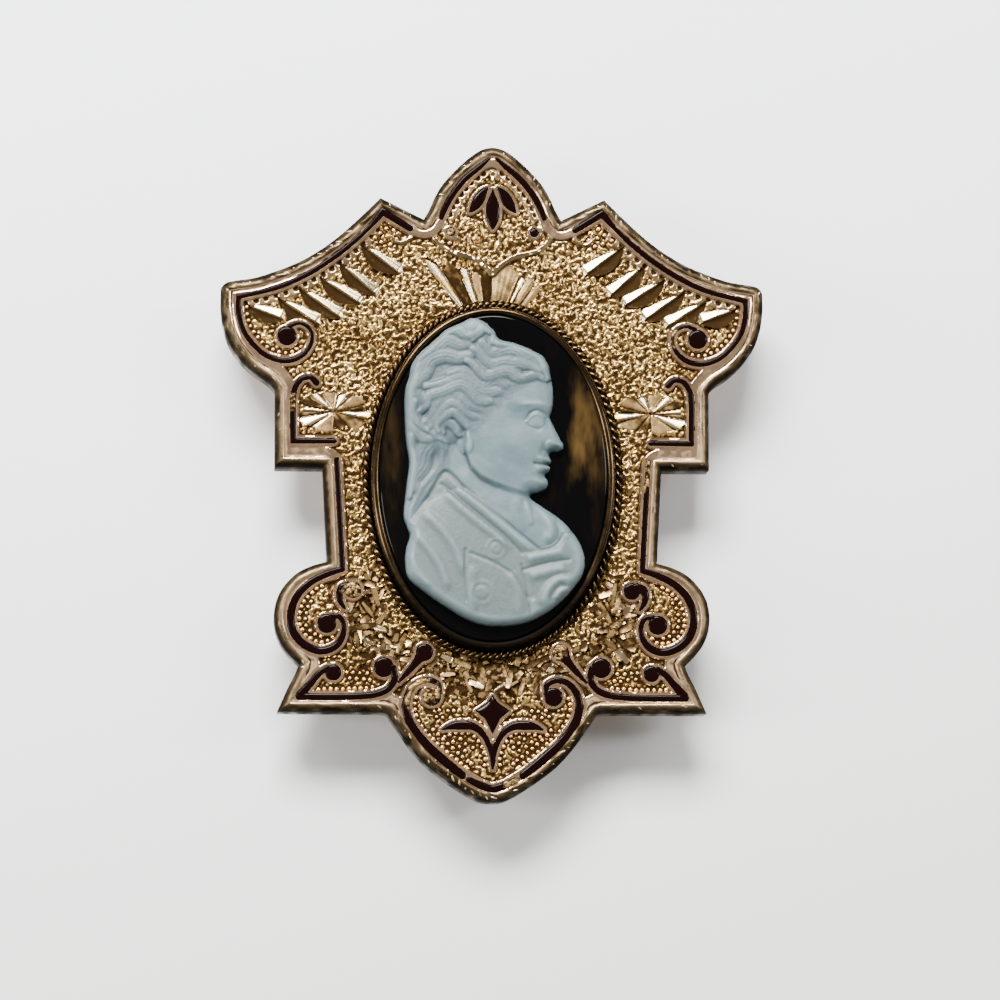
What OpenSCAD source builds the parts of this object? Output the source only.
// Cameo brooch: a stamped gold front on a shallow box with a closed back, black enamel lines let
// into its face, an oval two-layer hardstone in a rub-over bezel, and a pin clasp on the back.
// Millimetres. +Z is out of the face, +Y is towards the brooch's top, +X is to the right as worn
// seen from the front. Z is measured from the plane on which the clasp stands.

/* [Brooch] */
// Width across the two upper wings
brooch_w = 34.7; // [33.5:0.1:38]
// Height from the top lobe to the bottom lobe
brooch_h = 42; // [40.5:0.1:46]
// Depth of the box from its back to the matt field of the front
box_depth = 2.6; // [2.2:0.1:3.4]
// Thickness of the stamped front
front_t = 0.6; // [0.5:0.05:0.8]
// Thickness of the side wall of the box
wall_t = 0.55; // [0.45:0.05:0.6]
// Thickness of the back plate
back_t = 0.5; // [0.4:0.05:0.8]

/* [Rim] */
// Width of the rounded rim that runs round the whole front
rim_w = 0.5; // [0.35:0.01:0.55]
// Height of the flat polished border above the matt field
border_h = 0.15; // [0.08:0.01:0.25]
// Height of the rim's crown above the flat polished border
crown_h = 0.08; // [0.04:0.01:0.15]
// Width of the polished band that the enamel line runs in, with the rim
band_w = 1.28; // [1.1:0.02:1.4]

/* [Enamel] */
// Width of the plain enamel line
line_w = 0.3; // [0.22:0.01:0.34]
// Depth of the cut that holds the enamel
cut_depth = 0.38; // [0.25:0.01:0.42]
// Width of the polished edge left on each side of the enamel
land_w = 0.15; // [0.1:0.01:0.2]
// Gap between the enamel and the metal round it
enamel_gap = 0.02; // [0.015:0.005:0.03]

/* [Stone] */
// Width of the oval stone at its girdle
stone_w = 15.06; // [14:0.02:15.4]
// Height of the oval stone at its girdle
stone_h = 21.44; // [20:0.02:21.8]
// Drop of the stone's centre below the brooch's centre
stone_drop = 0.5; // [0.3:0.1:0.8]
// Height of the stone's straight girdle
girdle_h = 0.85; // [0.6:0.05:1.2]
// Height and width of the slope between the girdle and the flat top
slope_w = 0.4; // [0.3:0.05:0.5]
// Height of the carved white layer at its highest point
relief_h = 1.45; // [1.1:0.05:1.8]
// Thickness of the carved white layer along its edge
relief_edge = 0.32; // [0.2:0.02:0.5]

/* [Bezel] */
// Thickness of the bezel strip
bezel_t = 0.24; // [0.2:0.01:0.3]
// How far the bezel's lip leans in over the stone
lip_w = 0.23; // [0.15:0.01:0.26]
// Diameter of the rope wire round the bezel
rope_d = 0.58; // [0.4:0.02:0.64]

/* [Clasp] */
// Height of the clasp between the back plate and the plane on which it stands
clasp_h = 3; // [2.6:0.1:3.6]
// Diameter of the pin stem
pin_d = 1; // [0.8:0.05:1.1]
// Distance between the hinge and the catch
pin_span = 16.6; // [15:0.2:16.8]
// Height on the brooch at which the pin lies
pin_y = 0.8; // [0.5:0.1:2]

/* [Hidden] */
$fn = 48;
half_w = brooch_w / 2;
half_h = brooch_h / 2;
part_gap = 0.04;
field_z = clasp_h + box_depth;
border_z = field_z + border_h;
crown_z = border_z + crown_h;
rim_foot_z = field_z - 0.3;
hollow_z = field_z - front_t;
cut_z = border_z - cut_depth;
stone_z = field_z + part_gap;
slope_z = stone_z + girdle_h;
table_z = slope_z + slope_w;
bezel_gap = 0.03;
oval_n = 96;

// The tables are the right half. Columns: x in percent of half the width, y in percent of half the
// height. A line's third column is its width as a multiple of line_w. A ball's columns are its place
// from the end of its line and its radius, in millimetres.

// Right half of the outline, from the top lobe's point down to the bottom lobe's point
outline_half = [
    [0, 100], [3.6, 99.4], [6.7, 98.0], [12.6, 93.8], [18.5, 88.4], [21.4, 84.3], [23.3, 80.7],
    [25.4, 77.6], [41.4, 84.1], [48.5, 78.3], [56.3, 72.4], [64.0, 67.6], [71.8, 63.9], [80.1, 61.1],
    [87.6, 59.1], [95.1, 58.1], [98.0, 57.5], [99.7, 56.0], [100, 53.3], [99.9, 49.2], [98.8, 43.6],
    [96.3, 38.2], [92.2, 33.6], [87.4, 30.0], [82.2, 27.1], [79.8, 24.8], [79.8, 1.2], [62.2, 1.2],
    [61.4, -12.4], [60.5, -27.4], [66.3, -28.8], [71.5, -31.0], [76.1, -34.8], [78.8, -39.0],
    [79.8, -43.8], [79.1, -48.6], [77.2, -52.4], [74.1, -55.7], [70.6, -58.6], [72.0, -61.4],
    [74.6, -65.7], [78.5, -72.9], [40.9, -72.9], [38.3, -73.4], [36.9, -75.2], [34.0, -78.6],
    [30.0, -83.3], [24.2, -88.7], [17.3, -93.2], [11.0, -96.7], [5.8, -99.1], [2.9, -99.8], [0, -100]
];

arch_line = [
    [1.3, 96.2, 0.5], [4.3, 94.0, 1], [10.1, 89.9, 1.2], [14.4, 85.5, 1.2], [17.6, 80.8, 1.2],
    [19.0, 77.9, 1]
];
arch_dot = [15.3, 73.4];
arch_dot_r = 0.27;
petal_line = [
    [1.9, 87.1, 0.2], [3.3, 85.7, 1.1], [5.2, 83.3, 1.75], [6.6, 81.4, 1.2], [8.1, 79.9, 0.2]
];
centre_petal_line = [
    [0, 86.4, 0.2], [0, 84.3, 1.2], [0, 81.4, 2.4], [0, 78.1, 2.1], [0, 76.0, 1.1], [0, 74.5, 0.2]
];
wing_line = [
    [30.5, 74.4, 1.3], [40.5, 79.5, 1.5], [45.2, 74.9, 0.9], [51.3, 70.1, 1], [58.5, 65.3, 1.1],
    [67.7, 60.3, 1.1], [78.4, 56.1, 1], [93.4, 52.9, 1], [93.4, 48.6, 1.1], [91.8, 43.1, 1],
    [88.2, 38.6, 1], [83.6, 35.2, 1], [77.8, 33.5, 1.1], [73.5, 33.7, 1.1], [69.7, 35.3, 1],
    [67.0, 38.1, 0.8], [66.3, 41.4, 0.7], [68.0, 43.9, 0.7], [71.5, 45.0, 0.7], [74.6, 44.0, 0.9]
];
wing_ball = [0.17, -0.63, 0.6];
step_line = [
    [64.6, 26.7, 1.2], [66.9, 28.4, 1], [70.0, 27.9, 1], [72.3, 25.5, 1.1], [73.1, 22.4, 1.2],
    [73.1, 9.0, 1.2], [58.2, 9.0, 1]
];
side_line = [
    [57.2, 3.3, 1.1], [56.0, -13.3, 1.1], [54.9, -29.9, 1.1], [60.2, -31.3, 1.3], [66.6, -34.0, 1.4],
    [71.4, -38.1, 1.5], [73.5, -42.9, 1.6], [73.3, -47.6, 1.6], [70.9, -51.2, 1.6], [66.9, -53.7, 1.6],
    [62.2, -54.7, 1.5], [57.6, -53.4, 1.4], [54.9, -50.5, 1.2], [54.3, -46.9, 1], [55.9, -44.4, 1],
    [58.5, -44.0, 1]
];
side_ball = [0.35, -0.5, 0.6];
comma_line = [
    [53.0, -34.9, 1.6], [55.0, -35.7, 1.7], [56.0, -37.9, 1.4], [55.3, -40.2, 1], [53.9, -41.9, 0.4]
];
comma_ball = [-0.35, -0.27, 0.52];
corner_line = [
    [36.3, -59.8, 1.4], [35.7, -62.9, 1.3], [38.0, -66.0, 1.3], [42.1, -67.6, 1.3], [49.0, -68.3, 1.3],
    [57.6, -68.5, 1.4], [70.5, -68.5, 1.4]
];
corner_tail = [
    [70.0, -68.0, 1.8], [65.7, -63.8, 1.4], [63.1, -61.4, 1.2], [60.2, -59.8, 1.2]
];
corner_ball = [0.59, 0.06, 0.62];
corner_small_ball = [-0.36, -0.29, 0.5];
// The club's second column is the share of the way down from its ball to its tail
club_table = [
    [25.4, 0.04, 2.6], [28.2, 0.37, 1.5], [31.1, 0.68, 1.1], [34.3, 1, 0.4]
];
club_ball = [-0.09, 0.08, 0.54];
club_tail = -64;
bottom_line = [
    [19.5, -67.1, 1], [19.7, -64.9, 1.1], [22.8, -63.3, 1.2], [27.1, -64.0, 1.2], [30.3, -66.7, 1.4],
    [31.6, -70.5, 1.6], [31.0, -74.3, 1.7], [28.7, -78.3, 1.8], [24.3, -82.6, 1.8], [18.4, -87.1, 1.8],
    [11.2, -91.9, 1.7]
];
bottom_ball = [0.47, -0.25, 0.58];
tip_line = [
    [8.6, -93.3, 1.2], [4.6, -94.9, 1.5], [0, -96.0, 1.5], [-2, -95.6, 1.2]
];
fork_line = [
    [0, -89.8, 0.5], [0, -86.7, 1.2], [0.9, -83.8, 1.2], [2.4, -81.0, 1.1], [4.5, -78.7, 1.3],
    [7.5, -77.2, 1.6], [11.5, -76.9, 1.9], [15.0, -77.2, 1.4], [18.4, -78.2, 0.3]
];
star_half = [
    [0, -67.9], [2.0, -70.2], [6.2, -72.5], [2.6, -75.0], [0, -79.6]
];

// Leaf cuts of the wings. Columns: tip x, tip y, root x, root y, all in percent as above
leaf_cuts = [
    [46.0, 67.7, 34.2, 61.2], [53.6, 61.9, 40.9, 55.2], [61.1, 57.0, 49.0, 51.9],
    [68.3, 53.8, 55.6, 47.1], [76.1, 51.2, 65.1, 45.7]
];
leaf_w = 0.62;
leaf_cut_depth = 0.12;
rosette_at = [59.1, 17.5];
rosette_r = 2;
fan_at = [0, 36];
fan_r = [4.15, 5.9];

// Right edge of the carved bust, from the chest's foot to the crown, and its left edge at the same
// heights. Columns: y, left x, right x, all in percent of half the stone's height
bust_rows = [
    [-88, -6, 6], [-85, -17, 16], [-80, -27, 28], [-73, -36, 39], [-64, -43, 47], [-55, -48, 51.5],
    [-47, -51, 52.5], [-40, -51.5, 50.5], [-33, -50.5, 46], [-27, -49, 41], [-22, -48, 36.5],
    [-18, -48, 32], [-15, -48, 27], [-12.5, -48.5, 22], [-10.5, -48.5, 20], [-9.2, -49, 24.5],
    [-7.8, -49, 29], [-6, -49, 31.4], [-4, -49.5, 32.2], [-1.5, -50, 31.8], [1, -50.5, 29.8],
    [3.5, -51, 31.6], [5.5, -51, 32.8], [6.8, -51, 31.6], [8.2, -51, 33.4], [10.5, -51, 32.6],
    [13.5, -51, 32], [15, -51, 36.5], [16.6, -51, 40.4], [18.6, -51, 41.2], [21.5, -51, 39.6],
    [26, -51, 37], [31, -51, 34.6], [35.5, -51, 33], [39.5, -51, 34.2], [44, -51, 35], [50, -50, 34.8],
    [56, -48.5, 33.4], [62, -46.5, 31], [68, -44, 29], [74, -40.5, 25.5], [80, -36, 19.5],
    [85, -31.5, 11], [89, -27.5, 3], [92.5, -23.5, -5], [95, -19, -11]
];

function at(p) = [p[0] / 100 * half_w, p[1] / 100 * half_h];
function on_stone(p) = [p[0] / 200 * stone_h, p[1] / 200 * stone_h - stone_drop];
function mirrored(p) = [-p[0], p[1]];
function unit(v) = v / norm(v);

// The club hangs between the rope wire and the top of the bottom scroll: its ball leaves a third of
// the free height above it
rope_edge = bezel_gap + bezel_t + rope_d - 0.05;
function rope_foot(x) =
    -stone_drop - (stone_h / 2 + rope_edge) * sqrt(1 - pow(x / (stone_w / 2 + rope_edge), 2));
scroll_top = at(bottom_line[2])[1] + bottom_line[2][2] * line_w / 2;
club_sky = rope_foot(at(club_table[0])[0] + club_ball[0]);
club_y = club_sky - club_ball[2] - (club_sky - scroll_top - 2 * club_ball[2]) / 3 - club_ball[1];
club_line = [for (p = club_table) [p[0], club_y / half_h * 100 * (1 - p[1]) + club_tail * p[1], p[2]]];

// The whole outline, clockwise from the top
outline = concat([for (p = outline_half) at(p)],
                 [for (i = [len(outline_half) - 2 : -1 : 1]) mirrored(at(outline_half[i]))]);

// A closed clockwise outline's corners moved inwards by d, along the mitre of their two sides
function inset_point(pts, i, d) =
    let (n = len(pts), a = unit(pts[i] - pts[(i + n - 1) % n]), b = unit(pts[(i + 1) % n] - pts[i]),
         na = [a[1], -a[0]], nb = [b[1], -b[0]])
    pts[i] + (na + nb) * d / (1 + na * nb);

// A list of points turned over the brooch's middle line, in the order that keeps it clockwise
function flipped(pts) = [for (i = [len(pts) - 1 : -1 : 0]) mirrored(pts[i])];

// One side of a line of changing width: side is 1 or -1, grow widens it on both sides
function edge_point(line, i, side, grow) =
    let (n = len(line), p = at(line[i]), a = unit(p - at(line[max(i - 1, 0)]) + [0, 0.0001]),
         b = unit(at(line[min(i + 1, n - 1)]) - p + [0, 0.0001]),
         u = i == 0 ? b : a, v = i == n - 1 ? a : b,
         nu = [u[1], -u[0]], nv = [v[1], -v[0]], w = line[i][2] * line_w / 2 + grow)
    p + (nu + nv) * side * w / (1 + nu * nv);
function stroke(line, grow) =
    concat([for (i = [0 : len(line) - 1]) edge_point(line, i, 1, grow)],
           [for (i = [len(line) - 1 : -1 : 0]) edge_point(line, i, -1, grow)]);

module line_2d(line, grow) {
    polygon(stroke(line, grow));
}

// A ball at one end of its line
module ball_2d(end_point, ball, grow) {
    translate(at(end_point) + [ball[0], ball[1]])
        circle(r = ball[2] + grow);
}

module outline_2d() {
    polygon(outline);
}

// Enamel shapes of the right side and of the middle, grown by the given amount
module arch_2d(grow) {
    line_2d(arch_line, grow);
}

module dot_2d(grow) {
    ball_2d(arch_dot, [0, 0, arch_dot_r], grow);
}

module petal_2d(grow) {
    line_2d(petal_line, grow);
}

module wing_2d(grow) {
    line_2d(wing_line, grow);
    ball_2d(wing_line[len(wing_line) - 1], wing_ball, grow);
}

module step_2d(grow) {
    line_2d(step_line, grow);
}

module side_2d(grow) {
    line_2d(side_line, grow);
    ball_2d(side_line[len(side_line) - 1], side_ball, grow);
}

module comma_2d(grow) {
    line_2d(comma_line, grow);
    ball_2d(comma_line[0], comma_ball, grow);
}

module corner_2d(grow) {
    line_2d(corner_line, grow);
    line_2d(corner_tail, grow);
    ball_2d(corner_line[0], corner_ball, grow);
    ball_2d(corner_tail[len(corner_tail) - 1], corner_small_ball, grow);
}

module club_2d(grow) {
    line_2d(club_line, grow);
    ball_2d(club_line[0], club_ball, grow);
}

module bottom_2d(grow) {
    line_2d(bottom_line, grow);
    ball_2d(bottom_line[0], bottom_ball, grow);
}

module centre_petal_2d(grow) {
    line_2d(centre_petal_line, grow);
}

module tip_2d(grow) {
    line_2d(tip_line, grow);
    polygon(flipped(stroke(tip_line, grow)));
}

module fork_2d(grow) {
    line_2d(fork_line, grow);
    polygon(flipped(stroke(fork_line, grow)));
}

module star_2d(grow) {
    offset(delta = grow)
        polygon(concat([for (p = star_half) at(p)],
                       [for (i = [len(star_half) - 2 : -1 : 1]) mirrored(at(star_half[i]))]));
}

module side_shapes_2d(grow) {
    arch_2d(grow);
    dot_2d(grow);
    petal_2d(grow);
    wing_2d(grow);
    step_2d(grow);
    side_2d(grow);
    comma_2d(grow);
    corner_2d(grow);
    club_2d(grow);
    bottom_2d(grow);
}

module all_shapes_2d(grow) {
    side_shapes_2d(grow);
    mirror([1, 0])
        side_shapes_2d(grow);
    centre_petal_2d(grow);
    tip_2d(grow);
    fork_2d(grow);
    star_2d(grow);
}

// The matt field: what lies inside the polished band, less the edges left along the enamel
module field_2d() {
    difference() {
        offset(delta = -band_w)
            outline_2d();
        all_shapes_2d(enamel_gap + land_w);
    }
}

// A ring of equal closed sections, each a list of points in space
module ring(sections) {
    n = len(sections);
    k = len(sections[0]);
    polyhedron(
        points = [for (s = sections) for (p = s) p],
        faces = [for (i = [0 : n - 1]) for (j = [0 : k - 1]) for (half = [0, 1])
            let (a = i * k + j, b = i * k + (j + 1) % k,
                 c = ((i + 1) % n) * k + (j + 1) % k, d = ((i + 1) % n) * k + j)
            half == 0 ? [a, b, c] : [a, c, d]]);
}

// Point of an oval of the stone's shape, moved outwards by d, at turn number i
function oval(i, d) =
    let (t = -360 * i / oval_n, a = stone_w / 2, b = stone_h / 2, n = unit([b * cos(t), a * sin(t)]))
    [a * cos(t) + n[0] * d, b * sin(t) + n[1] * d - stone_drop];
function raised(p, z) = [p[0], p[1], z];

// Rounded rim: from the band up over the crown and down to just inside the wall's edge.
// Columns: distance in from the wall as a share of rim_w, height
rim_section = [
    [1.2, rim_foot_z - 0.2], [1.2, border_z - 0.03], [0.8, crown_z], [0.5, crown_z - 0.02],
    [0.16, border_z - 0.2], [0.04, rim_foot_z - 0.1]
];

module rim() {
    ring([for (i = [0 : len(outline) - 1])
        [for (s = rim_section) raised(inset_point(outline, i, s[0] * rim_w), s[1])]]);
}

// Bezel and rope wire: a strip round the girdle with its lip leaning in along the stone's slope, and
// the wire soldered into the corner that the strip makes with the front.
// Columns: distance out from the girdle, height
strip_out = bezel_gap + bezel_t;
rope_out = strip_out + rope_d / 2 - 0.05;
rope_z = field_z + rope_d * 0.32;
bezel_section = concat(
    [[bezel_gap, field_z - 0.25], [bezel_gap, slope_z + bezel_gap * 0.4],
     [bezel_gap - lip_w, slope_z + lip_w + bezel_gap * 0.4], [-lip_w, slope_z + lip_w + 0.14],
     [0.05, slope_z + lip_w + 0.2], [bezel_gap + bezel_t * 0.75, slope_z + 0.22],
     [strip_out, slope_z - 0.05], [strip_out, rope_z + rope_d * 0.28]],
    [for (t = [110 : -34 : -60]) [rope_out + rope_d / 2 * cos(t), rope_z + rope_d / 2 * sin(t)]],
    [[strip_out + 0.1, field_z - 0.25]]);

module bezel() {
    ring([for (i = [0 : oval_n - 1]) [for (s = bezel_section) raised(oval(i, s[0]), s[1])]]);
}

// One tapered cut from its tip to its blunt root
module leaf_2d(leaf) {
    tip = at([leaf[0], leaf[1]]);
    root = at([leaf[2], leaf[3]]);
    along = unit(root - tip);
    across = [along[1], -along[0]];
    middle = tip + (root - tip) * 0.55;
    polygon([tip, middle + across * leaf_w / 2, root + across * leaf_w * 0.3,
             root - across * leaf_w * 0.3, middle - across * leaf_w / 2]);
}

// Narrow cuts that spread from one point
module burst_2d(centre, inner, outer, from, to, count) {
    for (i = [0 : count - 1]) {
        a = from + (to - from) * i / count;
        w = (to - from) / count * 0.3;
        polygon([centre + inner * [cos(a), sin(a)], centre + outer * [cos(a - w), sin(a - w)],
                 centre + outer * 1.04 * [cos(a), sin(a)], centre + outer * [cos(a + w), sin(a + w)]]);
    }
}

module bright_cuts_2d() {
    for (leaf = leaf_cuts)
        leaf_2d(leaf);
    burst_2d(at(rosette_at), 0.35, rosette_r, 0, 360, 12);
}

module setting() {
    color("#c9a36b")
    union() {
        difference() {
            union() {
                translate([0, 0, clasp_h])
                    linear_extrude(rim_foot_z - clasp_h)
                        outline_2d();
                translate([0, 0, rim_foot_z - 0.15])
                    linear_extrude(border_z - rim_foot_z + 0.15)
                        polygon([for (i = [0 : len(outline) - 1]) inset_point(outline, i, rim_w)]);
                rim();
            }
            translate([0, 0, clasp_h - 1])
                linear_extrude(hollow_z - clasp_h + 1)
                    offset(delta = -wall_t)
                        outline_2d();
            translate([0, 0, field_z])
                linear_extrude(1)
                    field_2d();
            translate([0, 0, cut_z])
                linear_extrude(1)
                    all_shapes_2d(enamel_gap);
            translate([0, 0, field_z - leaf_cut_depth])
                linear_extrude(1) {
                    bright_cuts_2d();
                    mirror([1, 0])
                        bright_cuts_2d();
                    burst_2d(at(fan_at), fan_r[0], fan_r[1], 52, 136, 7);
                }
        }
        bezel();
    }
}

module back_plate() {
    color("#b99562")
    translate([0, 0, clasp_h])
        linear_extrude(back_t)
            offset(delta = -wall_t - part_gap)
                outline_2d();
}

module stone() {
    rings = [[0, stone_z], [0, slope_z], [-slope_w, table_z]];
    color("#15110f")
    polyhedron(
        points = [for (r = rings) for (i = [0 : oval_n - 1]) raised(oval(i, r[0]), r[1])],
        faces = concat(
            [for (r = [0, 1]) for (i = [0 : oval_n - 1]) for (half = [0, 1])
                let (a = r * oval_n + i, b = r * oval_n + (i + 1) % oval_n, c = b + oval_n, d = a + oval_n)
                half == 0 ? [a, c, b] : [a, d, c]],
            [[for (i = [0 : oval_n - 1]) i]],
            [[for (i = [oval_n - 1 : -1 : 0]) 2 * oval_n + i]]));
}

// Soft swelling of the carved layer, 1 at its centre and 0 at its edge
function swell(x, y, cx, cy, rx, ry) =
    max(0, 1 - pow((x - cx) / rx, 2) - pow((y - cy) / ry, 2));
// Smooth step from 0 to 1 between a and b
function ease(a, b, x) =
    let (t = max(0, min(1, (x - a) / (b - a)))) t * t * (3 - 2 * t);
// Height of the carved bust above its edge, as a share of relief_h. x and y are in percent of half
// the stone's height. The hair lies over the head and the neck, and the dress over the neck's foot
function bust_height(x, y) =
    let (jaw = y - max(-9, 8 - 0.62 * (x + 2)), collar = -13 - 0.24 * x - y,
         waves = 0.05 * sin(9 * x - 16 * y), hairline = 20 - 22 * ease(55, 25, y) - 24 * ease(10, -12, y),
         head = 0.42 + 0.42 * sqrt(swell(x, y, -6, 38, 50, 60)),
         features = 0.06 * swell(x, y, 15, 14, 14, 16) - 0.16 * swell(x, y, 27, 37, 9, 6),
         hair = max(ease(hairline + 3, hairline - 3, x), ease(68, 74, y + 0.2 * x)) * ease(-30, -20, y),
         dress = 0.5 + 0.4 * sqrt(swell(x, y, -4, -54, 60, 44)),
         sash = 0.12 * ease(8, 4, abs(y + 36 + 0.42 * x)))
    max((head + features) * ease(-3, 3, jaw), 0.42, (dress + sash) * ease(-3, 2, collar),
        hair * (0.2 + 0.72 * sqrt(max(0.1, 1 - pow((x + 14) / 52, 2))) + waves));

// The table's rows, with one more between two that are far apart
function close_rows(t) =
    [for (i = [0 : len(t) - 1]) for (k = [0 : i < len(t) - 1 && t[i + 1][0] - t[i][0] > 3.9 ? 1 : 0])
        k == 0 ? t[i] : (t[i] + t[i + 1]) / 2];

module cameo_relief() {
    cells = 28;
    table = close_rows(bust_rows);
    rows = len(table);
    row_n = cells + 3;
    base_z = table_z + part_gap / 2;
    rise = relief_h - relief_edge;
    grid = [for (r = table) concat(
        [for (k = [0 : cells])
            let (t = (1 - cos(180 * k / cells)) / 2, x = r[1] + (r[2] - r[1]) * t,
                 near = min(x - r[1], r[2] - x, 95 - r[0], r[0] + 88) / 9,
                 roll = sqrt(1 - pow(1 - min(1, max(near, 0)), 2)), p = on_stone([x, r[0]]))
            [p[0], p[1], base_z + relief_edge + rise * roll * max(0, bust_height(x, r[0]))]],
        [raised(on_stone([r[2], r[0]]), base_z), raised(on_stone([r[1], r[0]]), base_z)])];
    color("#a9b7bd")
    polyhedron(
        points = [for (g = grid) for (p = g) p],
        faces = concat(
            [for (r = [0 : rows - 2]) for (k = [0 : row_n - 1]) for (half = [0, 1])
                let (a = r * row_n + k, b = r * row_n + (k + 1) % row_n, c = b + row_n, d = a + row_n)
                half == 0 ? [a, c, b] : [a, d, c]],
            [for (k = [1 : row_n - 2]) [row_n - 1, k - 1, k]],
            [for (k = [1 : row_n - 2]) [rows * row_n - 1, (rows - 1) * row_n + k, (rows - 1) * row_n + k - 1]]));
}

// One plain piece: a hinge block and a catch, each on a foot plate, and the stem between them
module pin_clasp() {
    foot_t = 0.5;
    knuckle_r = 1.3;
    axis_z = 1.2;
    hinge_len = 6;
    catch_len = 4.4;
    catch_w = 2.6;
    foot_w = 3.8;
    color("#a98a5c")
    translate([0, pin_y, 0]) {
        difference() {
            union() {
                translate([-pin_span / 2 - foot_w / 2, -hinge_len / 2 - 0.4, clasp_h - part_gap - foot_t])
                    cube([foot_w, hinge_len + 0.8, foot_t]);
                translate([-pin_span / 2, hinge_len / 2, axis_z])
                    rotate([90, 0, 0])
                        cylinder(r = knuckle_r, h = hinge_len);
                translate([-pin_span / 2 - 0.8, -hinge_len / 2, axis_z])
                    cube([1.6, hinge_len, clasp_h - part_gap - foot_t / 2 - axis_z]);
                translate([pin_span / 2 - foot_w / 2, -catch_len / 2 - 0.4, clasp_h - part_gap - foot_t])
                    cube([foot_w, catch_len + 0.8, foot_t]);
                translate([pin_span / 2 - catch_w / 2, -catch_len / 2 + axis_z, axis_z])
                    rotate([0, 90, 0])
                        cylinder(r = axis_z, h = catch_w);
                translate([pin_span / 2 - catch_w / 2, catch_len / 2 - axis_z, axis_z])
                    rotate([0, 90, 0])
                        cylinder(r = axis_z, h = catch_w);
                translate([pin_span / 2 - catch_w / 2, -catch_len / 2 + axis_z, 0])
                    cube([catch_w, catch_len - 2 * axis_z, 2 * axis_z]);
                translate([pin_span / 2 - catch_w / 2, catch_len / 2 - 1.1, axis_z])
                    cube([catch_w, 1.1, clasp_h - part_gap - foot_t / 2 - axis_z]);
            }
            translate([-pin_span, -hinge_len, -1])
                cube([pin_span, 2 * hinge_len, 1]);
            translate([0, 0, axis_z])
                rotate([0, 90, 0])
                    cylinder(r = 0.62, h = pin_span);
            translate([0, -catch_len, axis_z - 0.15])
                cube([pin_span, catch_len, 1.3]);
        }
        translate([-pin_span / 2, 0, axis_z - 0.18])
            rotate([0, 90, 0])
                cylinder(d = pin_d, h = pin_span - 0.5);
        translate([pin_span / 2 - 0.5, 0, axis_z - 0.18])
            rotate([0, 90, 0])
                cylinder(d1 = pin_d, d2 = 0.15, h = 3);
    }
}

module enamel() {
    color("#140a0a")
    translate([0, 0, cut_z + enamel_gap])
        linear_extrude(cut_depth - enamel_gap - 0.01)
            children();
}

module enamel_top_arch_right() {
    enamel() arch_2d(0);
}

module enamel_top_arch_left() {
    mirror([1, 0, 0]) enamel_top_arch_right();
}

module enamel_top_dot_right() {
    enamel() dot_2d(0);
}

module enamel_top_dot_left() {
    mirror([1, 0, 0]) enamel_top_dot_right();
}

module enamel_top_petal_right() {
    enamel() petal_2d(0);
}

module enamel_top_petal_left() {
    mirror([1, 0, 0]) enamel_top_petal_right();
}

module enamel_top_petal_centre() {
    enamel() centre_petal_2d(0);
}

module enamel_wing_right() {
    enamel() wing_2d(0);
}

module enamel_wing_left() {
    mirror([1, 0, 0]) enamel_wing_right();
}

module enamel_step_right() {
    enamel() step_2d(0);
}

module enamel_step_left() {
    mirror([1, 0, 0]) enamel_step_right();
}

module enamel_side_scroll_right() {
    enamel() side_2d(0);
}

module enamel_side_scroll_left() {
    mirror([1, 0, 0]) enamel_side_scroll_right();
}

module enamel_comma_right() {
    enamel() comma_2d(0);
}

module enamel_comma_left() {
    mirror([1, 0, 0]) enamel_comma_right();
}

module enamel_corner_scroll_right() {
    enamel() corner_2d(0);
}

module enamel_corner_scroll_left() {
    mirror([1, 0, 0]) enamel_corner_scroll_right();
}

module enamel_club_right() {
    enamel() club_2d(0);
}

module enamel_club_left() {
    mirror([1, 0, 0]) enamel_club_right();
}

module enamel_bottom_scroll_right() {
    enamel() bottom_2d(0);
}

module enamel_bottom_scroll_left() {
    mirror([1, 0, 0]) enamel_bottom_scroll_right();
}

module enamel_bottom_tip() {
    enamel() tip_2d(0);
}

module enamel_bottom_star() {
    enamel() star_2d(0);
}

module enamel_bottom_fork() {
    enamel() fork_2d(0);
}

setting();
back_plate();
pin_clasp();
stone();
cameo_relief();
enamel_top_arch_left();
enamel_top_arch_right();
enamel_top_dot_left();
enamel_top_dot_right();
enamel_top_petal_left();
enamel_top_petal_centre();
enamel_top_petal_right();
enamel_wing_left();
enamel_wing_right();
enamel_step_left();
enamel_step_right();
enamel_side_scroll_left();
enamel_side_scroll_right();
enamel_comma_left();
enamel_comma_right();
enamel_corner_scroll_left();
enamel_corner_scroll_right();
enamel_club_left();
enamel_club_right();
enamel_bottom_scroll_left();
enamel_bottom_scroll_right();
enamel_bottom_tip();
enamel_bottom_star();
enamel_bottom_fork();
